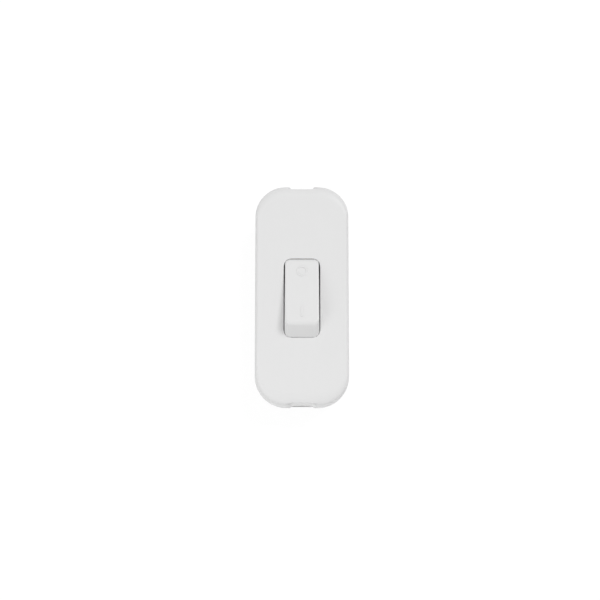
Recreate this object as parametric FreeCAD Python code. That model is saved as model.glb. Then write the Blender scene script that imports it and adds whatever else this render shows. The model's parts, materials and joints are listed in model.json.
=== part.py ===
"""Inline cord switch: a two-shell moulded housing round a double-pole rocker mechanism.

Lengths are in millimetres and angles in degrees. The switch lies on its flat back.
The origin is the centre of the back and +Z points out of the rocker. +Y runs along
the body to the end marked O, and +X is to the right, seen from above. The switch is
modelled off: the O end of the rocker is pressed.
"""
import FreeCAD, Part
import math
import os

from FreeCAD import Vector

# Housing
body_length = 75.4
body_width = 32.45
body_height = 22.0
parting_height = 10.0
corner_radius = 10.7
upper_draft = 2.0
lower_draft = 2.5
top_edge_radius = 2.0
back_edge_radius = 2.0
side_wall = 2.0
end_wall = 2.8
top_wall = 2.2
floor_wall = 2.0
lip_height = 1.4
lip_thickness = 0.9
lip_clearance = 0.1
parting_chamfer = 0.2
round_flats = 3

# Cord entries, one in each end, on the parting plane
cord_radius = 3.5
entry_clearance = 0.1
recess_depth = 0.4
recess_slope = 0.7

# Window and rocker; the window sits a little nearer the I end
window_y = -1.3
window_width = 12.3
window_length = 26.8
window_corner = 2.4
rocker_gap = 0.35
end_gap = 0.2
pivot_depth = 5.3
throw = 13.0
rocker_rise = 8.55
rocker_top_length = 22.0
rocker_top_edge = 0.55
rocker_wall = 1.6
rocker_rib = 0.8
skirt_drop = 2.4
core_length = 5.2
core_drop = 4.4
pin_radius = 1.5
pin_length = 1.6
pin_clearance = 0.05
collar_wall = 1.4
collar_depth = 3.2
ear_wall = 1.9
ear_length = 6.6
ear_drop = 2.6
post_clearance = 0.15

# Plungers and their springs, one for each pole, in the rocker's core
pole_x = 2.9
plunger_radius = 1.4
nose_radius = 0.6
nose_height = 0.7
plunger_clearance = 0.06
plunger_reach = 6.5
plunger_length = 6.9
plunger_wall = 0.45
plunger_floor = 2.3
bore_roof = 2.6
spring_wire = 0.3
spring_turns = 5
spring_runs_per_turn = 6
spring_clearance = 0.1

# Contact bridges, rocking on their fulcrums
bridge_length = 19.0
bridge_width = 4.0
bridge_thickness = 0.8
bridge_neck = 2.4
bridge_notch = 2.4
bridge_tilt = 6.0
tip_clearance = 0.03
contact_reach = 8.0
contact_size = 3.0
contact_thickness = 0.8
contact_clearance = 0.04
fulcrum_clearance = 0.05
fulcrum_ear_wall = 0.6
fulcrum_ear_length = 1.8
fulcrum_ear_rise = 0.9
ear_clearance = 0.1

# Terminal strips and blocks
strip_thickness = 0.8
strip_width = 2.4
strip_depth = 4.4
strip_bend = 1.5
block_gap = 0.6
block_length = 5.0
block_width = 4.4
block_height = 6.5
block_clearance = 0.2
wire_hole_radius = 1.4
wire_hole_height = 3.0

# Screws; the small ones inside and the small holes are drawn with flats
small_flats = 8
thread_radius = 1.45
thread_clearance = 0.02
head_radius = 2.0
head_height = 1.6
slot_width = 0.6
slot_depth = 0.8
housing_thread_radius = 1.45
housing_head_radius = 2.8
housing_head_height = 2.2
housing_screw_length = 14.0
housing_hole_clearance = 0.2
counterbore_depth = 3.6
boss_radius = 3.3
boss_share = 0.486
boss_end = 16.7

# Earth connector, which takes a share of the channel beside the mechanism
earth_length = 14.0
earth_share = 0.706
earth_height = 5.6
earth_bed = 2.0
earth_screw_inset = 3.0

# Cord clamps, placed by a share of the room between the terminals and the end
clamp_share = 0.591
clamp_length = 3.6
clamp_wall = 1.5
clamp_wing = 2.4
clamp_screw_x = 6.9
pillar_size = 5.2
saddle_length = 3.0
clamp_screw_reach = 5.0

# Ribs of the lower shell
barrier_wall = 0.8
barrier_drop = 6.3
rib_wall = 1.0
stop_width = 0.8
stop_length = 0.8
stiffener_depth = 3.6

# Sizes worked out from those above
X_AXIS = Vector(1, 0, 0)
Y_AXIS = Vector(0, 1, 0)
Z_AXIS = Vector(0, 0, 1)
overlap = 0.5
far = 100.0
ceiling = body_height - top_wall
high = ceiling + overlap
entry_radius = cord_radius + entry_clearance
pivot = Vector(0, window_y, body_height - pivot_depth)
window_radius = math.hypot(window_length / 2, pivot_depth)
rocker_width = window_width - 2 * rocker_gap
skirt_radius = window_radius - end_gap
bearing_radius = pin_radius + pin_clearance
tip_height = pivot.z - plunger_reach
fulcrum = Vector(0, window_y, tip_height - tip_clearance - bridge_thickness)
strip_top = fulcrum.z - strip_depth + strip_thickness / 2
strip_base = strip_top - strip_thickness
block_start = skirt_radius + block_gap
block_end = block_start + block_length
low = floor_wall - overlap
terminals_side = pole_x + block_width / 2
screw_x = terminals_side + boss_share * (body_width / 2 - terminals_side)
screw_y = body_length / 2 - boss_end
terminals_end = block_end + abs(window_y)
clamp_y = terminals_end + clamp_share * (body_length / 2 - end_wall - terminals_end)
ear_outer = window_width / 2 + ear_wall
channel_width = body_width / 2 - side_wall - ear_outer
earth_x = ear_outer + channel_width / 2
earth_width = earth_share * channel_width
earth_base = floor_wall + earth_bed

POLES = {"left": -1, "right": 1}
ENDS = {"o_end": 1, "i_end": -1}
QUARTERS = [(1, 1), (-1, 1), (-1, -1), (1, -1)]


# Basic shapes


def box(x0, x1, y0, y1, z0, z1):
    """A block between two corners."""
    return Part.makeBox(x1 - x0, y1 - y0, z1 - z0, Vector(x0, y0, z0))


def pier(x, y, size_x, size_y, z0, z1):
    """A block centred on x and y between two heights."""
    return box(x - size_x / 2, x + size_x / 2, y - size_y / 2, y + size_y / 2, z0, z1)


def rod(radius, length, base, axis=Z_AXIS):
    """A cylinder that starts at base and runs along axis."""
    return Part.makeCylinder(radius, length, base, axis)


def faceted_rod(radius, length, base, axis=Z_AXIS):
    """A bar with flats that runs along axis, for a small screw or hole."""
    facing = FreeCAD.Rotation(Z_AXIS, axis)
    turns = [2 * math.pi * step / small_flats for step in range(small_flats + 1)]
    rim = [facing.multVec(Vector(math.cos(turn), math.sin(turn), 0)) for turn in turns]
    corners = [base + radius * point for point in rim]
    return Part.Face(Part.makePolygon(corners)).extrude(axis * length)


def polygon_prism(points, x0, x1):
    """A side view in Y and Z, drawn as corner points, stretched from x0 to x1."""
    corners = [Vector(x0, y, z) for y, z in points]
    face = Part.Face(Part.makePolygon(corners + corners[:1]))
    return face.extrude(Vector(x1 - x0, 0, 0))


def rounded_rectangle(half_x, half_y, radius, z):
    """A level closed wire: a rectangle with round corners."""
    arcs = []
    for quarter, (side_x, side_y) in enumerate(QUARTERS):
        centre = Vector(side_x * (half_x - radius), side_y * (half_y - radius), z)
        angles = [math.radians(90 * quarter + turn) for turn in (0, 45, 90)]
        points = [centre + radius * Vector(math.cos(a), math.sin(a), 0) for a in angles]
        arcs.append(Part.Arc(*points).toShape())
    edges = []
    for arc, following in zip(arcs, arcs[1:] + arcs[:1]):
        edges.append(arc)
        edges.append(Part.makeLine(arc.Vertexes[-1].Point, following.Vertexes[0].Point))
    return Part.Wire(edges)


def edges_at(shape, z):
    """The edges of a shape that lie level at height z."""
    return [e for e in shape.Edges if abs(e.BoundBox.ZMin - z) < 0.01 and e.BoundBox.ZLength < 0.01]


def merged(shape, additions):
    """One solid of a shape and what is moulded onto it."""
    return shape.fuse(additions).removeSplitter()


def strip(path, x, width):
    """A bent metal strip whose centre line is a side view path of (y, z) points."""
    points = [Vector(0, y, z) for y, z in path]
    directions = [(b - a).normalize() for a, b in zip(points, points[1:])]
    normals = [Vector(0, -d.z, d.y) for d in directions]
    sides = ([], [])
    for index, point in enumerate(points):
        before = normals[max(index - 1, 0)]
        after = normals[min(index, len(normals) - 1)]
        mitre = (before + after).normalize()
        offset = mitre * (strip_thickness / 2 / mitre.dot(before))
        sides[0].append(point + offset)
        sides[1].append(point - offset)
    outline = sides[0] + sides[1][::-1]
    return polygon_prism([(p.y, p.z) for p in outline], x - width / 2, x + width / 2)


def screw(base, radius, reach, crown_radius, crown_height, bar=faceted_rod):
    """A slotted screw whose head stands on base, with its shank below."""
    head = bar(crown_radius, crown_height, base)
    shank = bar(radius, reach, base - Z_AXIS * reach)
    slot = Part.makeBox(2 * crown_radius + overlap, slot_width, slot_depth + overlap)
    slot.translate(base + Vector(-crown_radius - overlap / 2, -slot_width / 2, crown_height - slot_depth))
    return head.fuse(shank).removeSplitter().cut(slot)


# Housing


def round_edge(centre, radius, start, way=1):
    """Points along a round edge in a section, from an angle to the top, or to the bottom where way is -1."""
    angles = [math.radians(start + (90 - start) * step / round_flats) for step in range(round_flats + 1)]
    return [centre + radius * Vector(math.cos(a), 0, way * math.sin(a)) for a in angles]


def moulding_section(z_face, draft, edge_radius):
    """The section of a shell's block, drawn outward from a corner's centre line."""
    way = math.copysign(1, z_face - parting_height)
    bend_z = z_face - way * edge_radius
    slope = math.tan(math.radians(draft))
    lean = abs(bend_z - parting_height) * slope
    bend_x = corner_radius - lean - edge_radius / math.cos(math.radians(draft))
    points = [
        Vector(0, 0, parting_height),
        Vector(corner_radius - parting_chamfer, 0, parting_height),
        Vector(corner_radius - parting_chamfer * slope, 0, parting_height + way * parting_chamfer),
    ]
    points += round_edge(Vector(bend_x, 0, bend_z), edge_radius, draft, way)
    points.append(Vector(0, 0, z_face))
    return Part.Face(Part.makePolygon(points + points[:1]))


def carried_round(section):
    """The block that a section makes when it is carried round the housing's plan."""
    core_x = body_width / 2 - corner_radius
    core_y = body_length / 2 - corner_radius
    centres = [Vector(side * core_x, end * core_y, 0) for side, end in QUARTERS]
    bounds = section.BoundBox
    pieces = []
    for quarter, centre in enumerate(centres):
        following = centres[(quarter + 1) % len(centres)]
        corner = section.rotated(Vector(), Z_AXIS, 90 * quarter).translated(centre)
        pieces.append(corner.revolve(centre, Z_AXIS, 90))
        run = section.rotated(Vector(), Z_AXIS, 90 * (quarter + 1)).translated(centre)
        pieces.append(run.extrude(following - centre))
    core = box(-core_x, core_x, -core_y, core_y, bounds.ZMin, bounds.ZMax)
    return merged(core, pieces)


def rounded_block(side_inset, end_inset, z0, z1):
    """An upright block inside the outline that the housing has at the parting plane."""
    half_x = body_width / 2 - side_inset
    half_y = body_length / 2 - end_inset
    outline = rounded_rectangle(half_x, half_y, corner_radius - side_inset, z0)
    return Part.Face(outline).extrude(Vector(0, 0, z1 - z0))


def lip_ring(inner, outer, z0, z1):
    """A ring that follows the wall between two insets from the housing's outline."""
    reach = end_wall - side_wall
    ring = rounded_block(outer, outer + reach, z0, z1)
    return ring.cut(rounded_block(inner, inner + reach, z0 - overlap, z1 + overlap))


def entry_recesses(z_face, draft):
    """The shallow grooves down both ends, each as wide as its cord entry."""
    grooves = []
    rise = z_face - parting_height
    mouth = entry_radius + recess_slope * (1 + overlap / recess_depth)
    for end in ENDS.values():
        face_y = body_length / 2
        points = [
            Vector(-entry_radius, end * (face_y - recess_depth), parting_height),
            Vector(entry_radius, end * (face_y - recess_depth), parting_height),
            Vector(mouth, end * (face_y + overlap), parting_height),
            Vector(-mouth, end * (face_y + overlap), parting_height),
        ]
        lean = -end * abs(rise) * math.tan(math.radians(draft))
        groove = Part.Face(Part.makePolygon(points + points[:1])).extrude(Vector(0, lean, rise))
        grooves.append(groove)
    return grooves


def entry_bores():
    """The round way in for the cord, through both end walls."""
    reach = body_length / 2 + overlap
    return rod(entry_radius, 2 * reach, Vector(0, -reach, parting_height), Y_AXIS)


def pivot_rod(radius, width):
    """A plain disc about the rocker's axis."""
    return rod(radius, width, pivot - X_AXIS * width / 2, X_AXIS)


def pivot_disc(radius, width, rim_radius):
    """A disc about the rocker's axis with rounded rims."""
    rim = round_edge(Vector(width / 2 - rim_radius, 0, radius - rim_radius), rim_radius, 0)
    side = [Vector(width / 2, 0, 0)] + rim
    points = side + [Vector(-point.x, 0, point.z) for point in reversed(side)]
    section = Part.Face(Part.makePolygon(points + points[:1])).translated(pivot)
    return section.revolve(pivot, X_AXIS, 360)


def boss_places():
    """Where the two housing screws stand, in opposite corners."""
    return {name: Vector(end * screw_x, end * screw_y, 0) for name, end in ENDS.items()}


def window_collar():
    """The guard inside the window that follows the sweep of the rocker's skirt."""
    width = window_width + 2 * collar_wall
    guard = pivot_rod(window_radius + collar_wall, width)
    return guard.common(pier(0, 0, 2 * width, body_length, ceiling - collar_depth, high))


def bearing_ear(side):
    """One ear beside the window for an end of the rocker's pin."""
    x = side * (ear_outer - ear_wall / 2)
    return pier(x, pivot.y, ear_wall, ear_length, pivot.z - ear_drop, high)


def bearing_slot():
    """What both ears lose: the round bearing and the pin's way in from below."""
    bearing = pivot_rod(bearing_radius, 2 * ear_outer)
    way_in = pier(0, pivot.y, 2 * ear_outer, 2 * bearing_radius, pivot.z - ear_drop - overlap, pivot.z)
    return bearing.fuse(way_in)


def stiffeners():
    """Ribs across the inside of the top, between the window and the clamps."""
    width = body_width - 2 * side_wall
    places = [end * (clamp_y + screw_y) / 2 for end in ENDS.values()]
    return [pier(0, y, width, rib_wall, ceiling - stiffener_depth, high) for y in places]


def upper_shell():
    section = moulding_section(body_height, upper_draft, top_edge_radius)
    shell = carried_round(section).cut(entry_recesses(body_height, upper_draft))
    shell = shell.cut(rounded_block(side_wall, end_wall, parting_height, ceiling))
    lip_top = parting_height + overlap
    lip = lip_ring(side_wall, side_wall - lip_thickness, parting_height - lip_height, lip_top)
    places = boss_places().values()
    bosses = [rod(boss_radius, high - parting_height, place + Z_AXIS * parting_height) for place in places]
    inner_half = rounded_block(side_wall / 2, end_wall / 2, parting_height, body_height)
    inside = [feature.common(inner_half) for feature in bosses + stiffeners()]
    ears = [bearing_ear(side) for side in POLES.values()]
    shell = merged(shell, [lip, window_collar()] + inside + ears)
    shell = shell.cut(pivot_disc(window_radius, window_width, window_corner))
    shell = shell.cut(bearing_slot())
    pilot_top = counterbore_depth + housing_screw_length + overlap
    for place in places:
        shell = shell.cut(rod(housing_thread_radius + thread_clearance, pilot_top, place))
    return shell.cut(entry_bores())


def bearing_posts():
    """The posts that close the bearings of the rocker's pins from below."""
    wall = ear_wall - post_clearance
    posts = []
    for side in POLES.values():
        x = side * (ear_outer - wall / 2)
        width = 2 * (bearing_radius - post_clearance)
        posts.append(pier(x, pivot.y, wall, width, low, pivot.z - bearing_radius))
        posts.append(pier(x, pivot.y, wall, ear_length, low, pivot.z - ear_drop - post_clearance))
    return posts


def terminal_beds():
    """The raised beds and side ribs that hold the terminal strips and blocks."""
    beds = []
    bed_start = block_start - 2 * strip_bend
    bed_length = block_end + rib_wall - bed_start
    rib_x = terminals_side + block_clearance + rib_wall / 2
    for side, end in QUARTERS:
        y = window_y + end * (bed_start + bed_length / 2)
        beds.append(pier(side * pole_x, y, block_width, bed_length, low, strip_base))
        y = window_y + end * (block_start + block_length / 2)
        beds.append(pier(side * rib_x, y, rib_wall, block_length, low, strip_top + block_height / 2))
    return beds


def barrier():
    """The insulating wall between the two poles."""
    return pier(0, window_y, barrier_wall, 2 * (block_end + rib_wall), low, pivot.z - barrier_drop)


def bridge_stops():
    """Small posts that hold up the I end of each bridge while the switch is off."""
    reach = bridge_length / 2 - stop_length
    top = fulcrum.z - (reach + stop_length / 2) * math.tan(math.radians(bridge_tilt)) - fulcrum_clearance
    offset = (bridge_width - stop_width) / 2
    stops = []
    for side in POLES.values():
        for x in (side * pole_x - offset, side * pole_x + offset):
            stops.append(pier(x, window_y - reach, stop_width, stop_length, low, top))
    return stops


def earth_nest():
    """The bed of the earth connector with a low rib at each end of it."""
    length = earth_length + 2 * block_clearance
    nest = [pier(earth_x, window_y, earth_width, length, low, earth_base)]
    for end in ENDS.values():
        y = window_y + end * (length + rib_wall) / 2
        nest.append(pier(earth_x, y, earth_width, rib_wall, low, earth_base + rib_wall))
    return nest


def clamp_screw_place(side, end):
    return Vector(side * clamp_screw_x, end * clamp_y, parting_height)


def clamp_saddles():
    """The cradle and the two screw pillars under each cord clamp."""
    saddles = []
    for end in ENDS.values():
        saddles.append(pier(0, end * clamp_y, 2 * clamp_screw_x, saddle_length, low, parting_height))
        for side in POLES.values():
            foot = clamp_screw_place(side, end)
            saddles.append(pier(foot.x, foot.y, pillar_size, pillar_size, low, foot.z))
    return saddles


def lower_shell():
    section = moulding_section(0, lower_draft, back_edge_radius)
    shell = carried_round(section).cut(entry_recesses(0, lower_draft))
    shell = shell.cut(rounded_block(side_wall, end_wall, floor_wall, parting_height))
    places = boss_places().values()
    boss_height = parting_height - floor_wall / 2
    bosses = [rod(boss_radius, boss_height, place + Z_AXIS * floor_wall / 2) for place in places]
    inner_half = rounded_block(side_wall / 2, end_wall / 2, 0, parting_height)
    inside = [boss.common(inner_half) for boss in bosses]
    inside += [barrier()] + clamp_saddles() + terminal_beds() + bridge_stops() + earth_nest()
    shell = merged(shell, inside + bearing_posts())
    rebate_base = parting_height - lip_height - lip_clearance
    outer = side_wall - lip_thickness - lip_clearance
    shell = shell.cut(lip_ring(side_wall + lip_clearance, outer, rebate_base, parting_height + overlap))
    hole_radius = housing_thread_radius + housing_hole_clearance
    counterbore = housing_head_radius + housing_hole_clearance
    for place in places:
        shell = shell.cut(rod(hole_radius, parting_height + overlap, place))
        shell = shell.cut(rod(counterbore, counterbore_depth + overlap, place - Z_AXIS * overlap))
    pilot = clamp_screw_reach + overlap
    for side, end in QUARTERS:
        foot = clamp_screw_place(side, end) - Z_AXIS * pilot
        shell = shell.cut(faceted_rod(thread_radius + thread_clearance, pilot + overlap, foot))
    cradle = clamp_y + saddle_length / 2
    shell = shell.cut(rod(cord_radius, 2 * cradle, Vector(0, -cradle, parting_height), Y_AXIS))
    return shell.cut(entry_bores())


# Rocker and plungers, built level and then turned to rest


def at_rest(shape):
    """A piece of the rocker, turned about its axis until the O end is pressed."""
    return shape.rotated(pivot, X_AXIS, -throw)


def rocker_waist():
    """Where a slanted end meets the skirt, as (y, z) from the level rocker's axis.

    With that end raised, the waist lies level with the housing's top.
    """
    surface_y = math.sqrt(skirt_radius**2 - pivot_depth**2)
    turn = math.radians(throw)
    waist_y = surface_y * math.cos(turn) + pivot_depth * math.sin(turn)
    return waist_y, pivot_depth * math.cos(turn) - surface_y * math.sin(turn)


def rocker_block():
    """The block inside the rocker's side view: a flat top, two slanted ends and a skirt."""
    waist_y, waist_z = rocker_waist()
    side = [(rocker_top_length / 2, rocker_rise), (waist_y, waist_z), (far, waist_z), (far, -skirt_drop)]
    view = [(-y, z) for y, z in side] + side[::-1]
    return polygon_prism([(pivot.y + y, pivot.z + z) for y, z in view], -rocker_width, rocker_width)


def rocker_hollow():
    """The hollow under the rocker as one piece, concentric with its skirt."""
    waist = Vector(*rocker_waist(), 0)
    corner = Vector(rocker_top_length / 2, rocker_rise, 0)
    slant_distance = corner.cross(waist).Length / corner.distanceToPoint(waist)
    hollow = pivot_rod(slant_distance - rocker_wall, rocker_width - 2 * rocker_wall)
    return hollow.common(pier(0, 0, far, far, pivot.z - far, pivot.z + rocker_rise - rocker_wall))


def rocker():
    body = pivot_disc(skirt_radius, rocker_width, window_corner - rocker_gap).common(rocker_block())
    body = body.makeFillet(rocker_top_edge, edges_at(body, pivot.z + rocker_rise))
    top = pivot.z + rocker_rise - rocker_wall
    foot = pivot.z - skirt_drop - overlap
    core = pier(0, pivot.y, rocker_width, core_length, foot, top)
    rib = pier(0, pivot.y, rocker_rib, 2 * skirt_radius, foot, top)
    body = body.cut(rocker_hollow().cut(core).cut(rib))
    core_foot = pier(0, pivot.y, rocker_width, core_length, pivot.z - core_drop, pivot.z)
    pins = pivot_rod(pin_radius, rocker_width + 2 * pin_length)
    body = merged(body, [core_foot, pins])
    for side in POLES.values():
        base = Vector(side * pole_x, pivot.y, pivot.z - core_drop - overlap)
        bore_top = pivot.z + rocker_rise - bore_roof
        body = body.cut(rod(plunger_radius + plunger_clearance, bore_top - base.z, base))
    return at_rest(body)


def plunger(side):
    """A hollow pin with a blunt nose, open at the top for its spring."""
    tip = Vector(side * pole_x, pivot.y, tip_height)
    nose = Part.makeCone(nose_radius, plunger_radius, nose_height, tip)
    body = nose.fuse(rod(plunger_radius, plunger_length - nose_height, tip + Z_AXIS * nose_height))
    well = faceted_rod(plunger_radius - plunger_wall, plunger_length, tip + Z_AXIS * plunger_floor)
    return at_rest(body.removeSplitter().cut(well))


def coil(radius, height):
    """A standing coil of square wire, drawn as short straight runs."""
    half = spring_wire / 2
    runs = spring_turns * spring_runs_per_turn
    rings = []
    for step in range(runs + 1):
        centre = Vector(radius, 0, height * step / runs)
        turn = FreeCAD.Rotation(Z_AXIS, 360 * step / spring_runs_per_turn)
        rings.append([turn.multVec(centre + Vector(x * half, 0, z * half)) for x, z in QUARTERS])
    outlines = [rings[0], rings[-1]]
    for ring, following in zip(rings, rings[1:]):
        for near, far_on in zip(range(4), (1, 2, 3, 0)):
            outlines.append([ring[near], ring[far_on], following[far_on]])
            outlines.append([ring[near], following[far_on], following[near]])
    faces = [Part.Face(Part.makePolygon(points + points[:1])) for points in outlines]
    return Part.makeSolid(Part.makeShell(faces))


def plunger_spring(side):
    """The coil from the bottom of the plunger's well to the roof of its bore."""
    coil_radius = plunger_radius - plunger_wall - spring_clearance - spring_wire / 2
    base = tip_height + plunger_floor + spring_clearance + spring_wire / 2
    roof = pivot.z + rocker_rise - bore_roof
    spring = coil(coil_radius, roof - base - spring_clearance - spring_wire / 2)
    return at_rest(spring.translated(Vector(side * pole_x, pivot.y, base)))


# Contacts and terminals


def off_tilt(shape):
    """A piece of a bridge, tilted with its O end up, as it lies while off."""
    return shape.rotated(fulcrum, X_AXIS, bridge_tilt)


def on_tilt(shape):
    """A piece that a bridge meets face to face while the switch is on."""
    return shape.rotated(fulcrum, X_AXIS, -bridge_tilt)


def contact_bridge(side):
    """A flat copper bar with a notch in each edge for the ears of its fulcrum."""
    x = side * pole_x
    top = fulcrum.z + bridge_thickness
    bar = pier(x, window_y, bridge_width, bridge_length, fulcrum.z, top)
    notch_offset = (bridge_neck + bridge_width) / 2
    for notch_x in (x - notch_offset, x + notch_offset):
        bar = bar.cut(pier(notch_x, window_y, bridge_width, bridge_notch, fulcrum.z, top))
    return off_tilt(bar)


def contact_pad(side, top):
    """A square contact under the O end of a bridge, in the bridge's own frame."""
    y = window_y + contact_reach
    return pier(side * pole_x, y, contact_size, contact_size, top - contact_thickness, top)


def moving_contact(side):
    return off_tilt(contact_pad(side, fulcrum.z))


def fixed_contact_top():
    """Height of a fixed contact's face below its bridge, in the bridge's own frame."""
    return fulcrum.z - contact_thickness - contact_clearance


def fixed_contact(side):
    return on_tilt(contact_pad(side, fixed_contact_top()))


def fixed_terminal(side):
    """The strip that carries a fixed contact and runs under its terminal block."""
    pad_z = fixed_contact_top() - contact_thickness - strip_thickness / 2
    turn = FreeCAD.Rotation(X_AXIS, -bridge_tilt)
    path = []
    for reach in (contact_reach - contact_size / 2, contact_reach + contact_size / 2):
        point = fulcrum + turn.multVec(Vector(0, reach, pad_z - fulcrum.z))
        path.append((point.y, point.z))
    tail_z = strip_top - strip_thickness / 2
    path.append((path[-1][0] + strip_bend, tail_z))
    path.append((window_y + block_end, tail_z))
    return strip(path, side * pole_x, strip_width)


def fulcrum_terminal(side):
    """The strip with the upright edge and two ears that a bridge rocks on."""
    x = side * pole_x
    tail_z = strip_top - strip_thickness / 2
    crest = fulcrum.z - fulcrum_clearance - strip_thickness / 2
    path = [(window_y, crest), (window_y, tail_z), (window_y - block_end, tail_z)]
    tail = strip(path, x, strip_width)
    ear_inner = bridge_neck / 2 + ear_clearance
    ear_reach = ear_inner + fulcrum_ear_wall
    half = strip_thickness / 2
    edge_top = fulcrum.z - fulcrum_clearance
    shoulder_base = crest - fulcrum_ear_length
    view = [(-half, shoulder_base), (-half, crest), (-half / 2, edge_top), (half / 2, edge_top)]
    view += [(half, crest), (half, shoulder_base)]
    edge = polygon_prism([(window_y + y, z) for y, z in view], x - ear_reach, x + ear_reach)
    ear_offset = ear_inner + fulcrum_ear_wall / 2
    ear_top = fulcrum.z + fulcrum_ear_rise
    for ear_x in (x - ear_offset, x + ear_offset):
        tail = tail.fuse(pier(ear_x, window_y, fulcrum_ear_wall, fulcrum_ear_length, shoulder_base, ear_top))
    return merged(tail, [edge])


def block_centre(side, end):
    return Vector(side * pole_x, window_y + end * (block_start + block_length / 2), strip_top)


def wire_block(centre, size, screw_places, scale=1):
    """A brass block with a hole along it for the wire and screw holes down to it."""
    block = pier(centre.x, centre.y, size.x, size.y, centre.z, centre.z + size.z)
    hole_base = centre + Vector(0, -size.y / 2 - overlap, wire_hole_height)
    block = block.cut(faceted_rod(scale * wire_hole_radius, size.y + 2 * overlap, hole_base, Y_AXIS))
    hole_radius = scale * thread_radius + thread_clearance
    for y in screw_places:
        block = block.cut(faceted_rod(hole_radius, size.z, Vector(centre.x, y, hole_base.z)))
    return block


def terminal_block(side, end):
    centre = block_centre(side, end)
    return wire_block(centre, Vector(block_width, block_length, block_height), [centre.y])


def block_screw(x, y, block_base, height, scale=1):
    """A screw through the top of a wire block, down to its wire hole."""
    reach = height - wire_hole_height - thread_clearance
    top = Vector(x, y, block_base + height)
    return screw(top, scale * thread_radius, reach, scale * head_radius, head_height)


def terminal_screw(side, end):
    centre = block_centre(side, end)
    return block_screw(centre.x, centre.y, centre.z, block_height)


def earth_screw_places():
    offset = earth_length / 2 - earth_screw_inset
    return {name: window_y + end * offset for name, end in ENDS.items()}


def earth_connector():
    """The long block for the earth cores; its holes and screws keep in proportion to its width."""
    centre = Vector(earth_x, window_y, earth_base)
    size = Vector(earth_width, earth_length, earth_height)
    return wire_block(centre, size, earth_screw_places().values(), earth_width / block_width)


def earth_screw(name):
    scale = earth_width / block_width
    return block_screw(earth_x, earth_screw_places()[name], earth_base, earth_height, scale)


# Cord clamps and housing screws


def cord_clamp(end):
    """A saddle with two wings, screwed down over the cord."""
    start = Vector(0, end * clamp_y - clamp_length / 2, parting_height)
    width = 2 * (clamp_screw_x + head_radius) + overlap
    wings = pier(0, end * clamp_y, width, clamp_length, parting_height, parting_height + clamp_wing)
    arch = rod(cord_radius + clamp_wall, clamp_length, start, Y_AXIS)
    clamp = merged(wings, [arch.common(pier(0, 0, far, far, parting_height, far))])
    clamp = clamp.cut(rod(cord_radius, clamp_length, start, Y_AXIS))
    hole_radius = thread_radius + thread_clearance
    for side in POLES.values():
        clamp = clamp.cut(faceted_rod(hole_radius, clamp_wing, clamp_screw_place(side, end)))
    return clamp


def clamp_screw(side, end):
    base = clamp_screw_place(side, end) + Z_AXIS * clamp_wing
    return screw(base, thread_radius, clamp_wing + clamp_screw_reach, head_radius, head_height)


def housing_screw(name):
    """A screw from the back, its head sunk in the lower shell."""
    base = boss_places()[name] + Z_AXIS * counterbore_depth
    radius = housing_thread_radius
    upright = screw(base, radius, housing_screw_length, housing_head_radius, housing_head_height, rod)
    return upright.rotated(base, X_AXIS, 180)


def all_pieces():
    """Every piece by name, at rest with the O end pressed."""
    pieces = {
        "upper_shell": upper_shell(),
        "lower_shell": lower_shell(),
        "rocker": rocker(),
        "earth_connector": earth_connector(),
    }
    for name in ENDS:
        pieces[f"earth_screw_{name}"] = earth_screw(name)
        pieces[f"cord_clamp_{name}"] = cord_clamp(ENDS[name])
        pieces[f"housing_screw_{name}"] = housing_screw(name)
    for pole, side in POLES.items():
        pieces[f"plunger_{pole}"] = plunger(side)
        pieces[f"plunger_spring_{pole}"] = plunger_spring(side)
        pieces[f"contact_bridge_{pole}"] = contact_bridge(side)
        pieces[f"moving_contact_{pole}"] = moving_contact(side)
        pieces[f"fixed_contact_{pole}"] = fixed_contact(side)
        pieces[f"fixed_terminal_{pole}"] = fixed_terminal(side)
        pieces[f"fulcrum_terminal_{pole}"] = fulcrum_terminal(side)
        for name, end in ENDS.items():
            pieces[f"terminal_block_{pole}_{name}"] = terminal_block(side, end)
            pieces[f"terminal_screw_{pole}_{name}"] = terminal_screw(side, end)
            pieces[f"clamp_screw_{pole}_{name}"] = clamp_screw(side, end)
    return pieces


os.makedirs("parts", exist_ok=True)
for node, shape in all_pieces().items():
    shape.exportStep(f"parts/{node}.step")
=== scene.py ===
"""Looks of the inline cord switch: smooth mouldings, raised marks, threaded screws, coils and finishes."""

import json
import math

import bmesh
import bpy
from bpy.props import FloatProperty, FloatVectorProperty, IntProperty, PointerProperty
from mathutils import Euler, Matrix, Vector


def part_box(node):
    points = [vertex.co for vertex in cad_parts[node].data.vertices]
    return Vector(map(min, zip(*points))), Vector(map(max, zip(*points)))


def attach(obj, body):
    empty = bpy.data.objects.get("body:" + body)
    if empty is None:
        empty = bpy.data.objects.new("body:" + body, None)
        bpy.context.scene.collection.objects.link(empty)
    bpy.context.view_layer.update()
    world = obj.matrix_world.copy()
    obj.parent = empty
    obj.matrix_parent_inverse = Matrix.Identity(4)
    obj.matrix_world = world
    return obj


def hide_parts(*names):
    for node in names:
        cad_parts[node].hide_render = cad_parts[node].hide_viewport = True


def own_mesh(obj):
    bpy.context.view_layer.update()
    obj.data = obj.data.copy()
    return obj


bl_info = {
    "name": "Inline cord switch",
    "version": (1, 0, 0),
    "blender": (4, 5, 0),
    "location": "3D View > Sidebar > Cord switch",
    "description": "Models and finishes the pieces of an inline cord switch on its packed frame",
    "category": "Object",
}

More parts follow.
